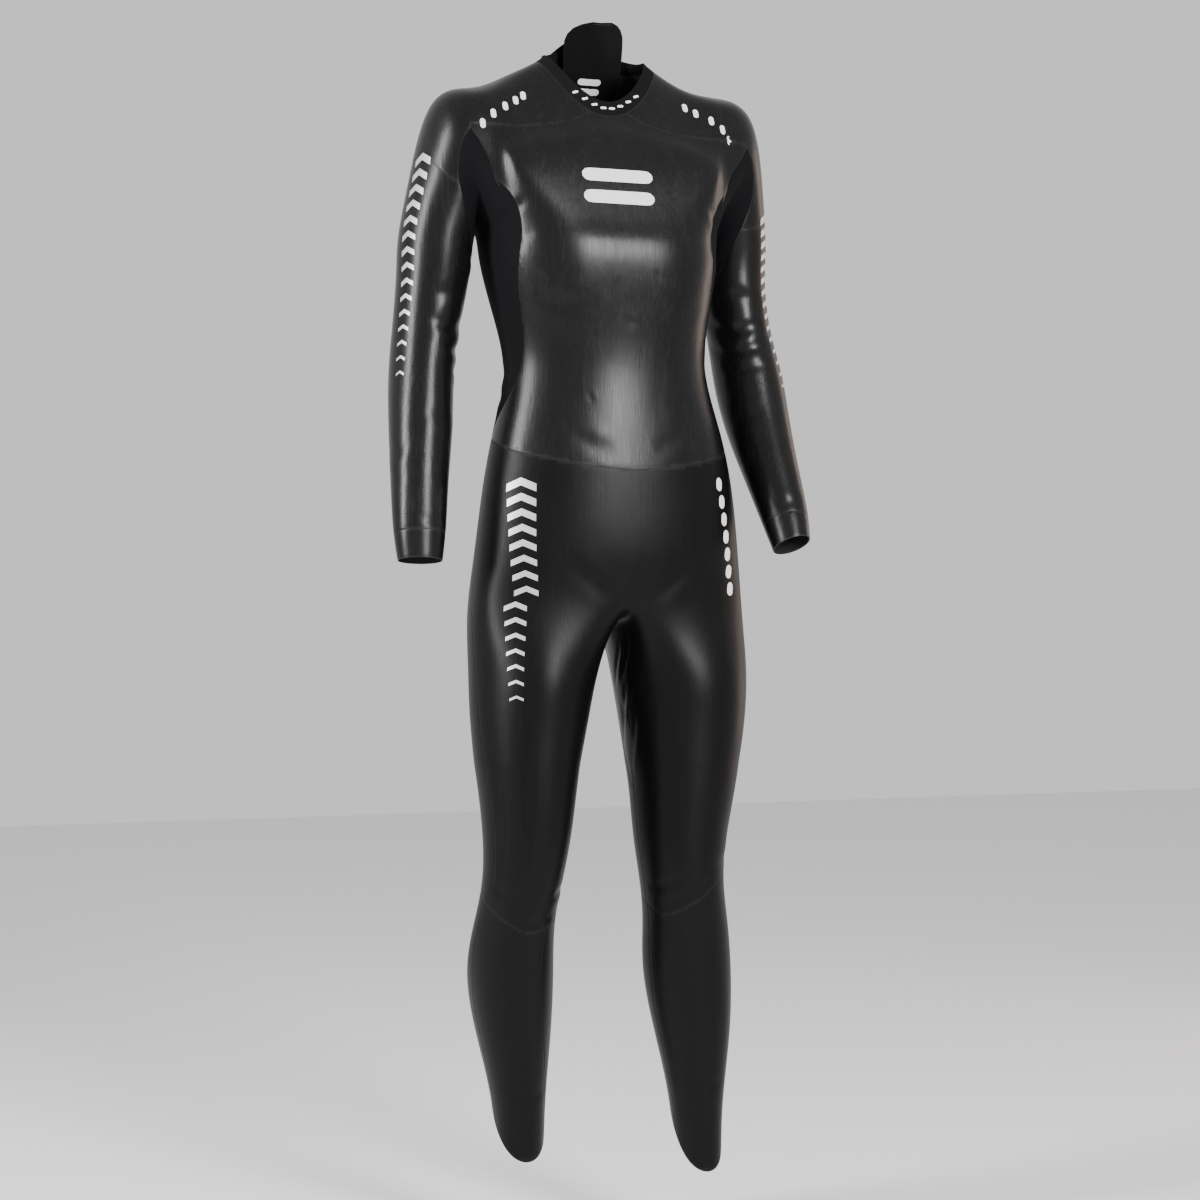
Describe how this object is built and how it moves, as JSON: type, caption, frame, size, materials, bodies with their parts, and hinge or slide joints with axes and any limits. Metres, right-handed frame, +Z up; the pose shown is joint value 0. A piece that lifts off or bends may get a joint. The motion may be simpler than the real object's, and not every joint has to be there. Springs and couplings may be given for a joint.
{
  "type": "wetsuit",
  "caption": "Full-sleeve smooth-skin neoprene swim wetsuit with a low collar and a back zip, filled out in a standing pose with no wearer.",
  "frame": {"origin": "in the hollow between the shoulders, on the middle line of the general figure, 1.450 m above the sole of that figure", "axes": "+Z up, the front faces -Y, and the wearer's left is +X"},
  "size_m": [0.5391, 0.2334, 1.4635],
  "materials": {
    "smooth_skin": "satin gloss smooth-skin neoprene",
    "smooth_skin_legs": "satin smooth-skin neoprene",
    "jersey": "matt knitted jersey on neoprene",
    "collar_jersey": "matt knitted jersey on neoprene",
    "zip_plastic": "moulded plastic"
  },
  "bodies": {
    "root": {"back_panel": "smooth_skin", "calf_L": "smooth_skin_legs", "calf_R": "smooth_skin_legs", "collar": "collar_jersey", "collar_tab": "collar_jersey", "crotch_gusset": "smooth_skin_legs", "cuff_L": "smooth_skin", "cuff_R": "smooth_skin", "front_panel": "smooth_skin", "pants_back": "smooth_skin_legs", "pants_front": "smooth_skin_legs", "shin_L": "smooth_skin_legs", "shin_R": "smooth_skin_legs", "side_panel_L": "jersey", "side_panel_R": "jersey", "sleeve_L": "smooth_skin", "sleeve_R": "smooth_skin", "yoke_L": "smooth_skin", "yoke_R": "smooth_skin", "zip_flap": "jersey", "zip_half_L": "zip_plastic", "zip_half_R": "zip_plastic", "zip_slider": "zip_plastic"}
  },
  "joints": []
}
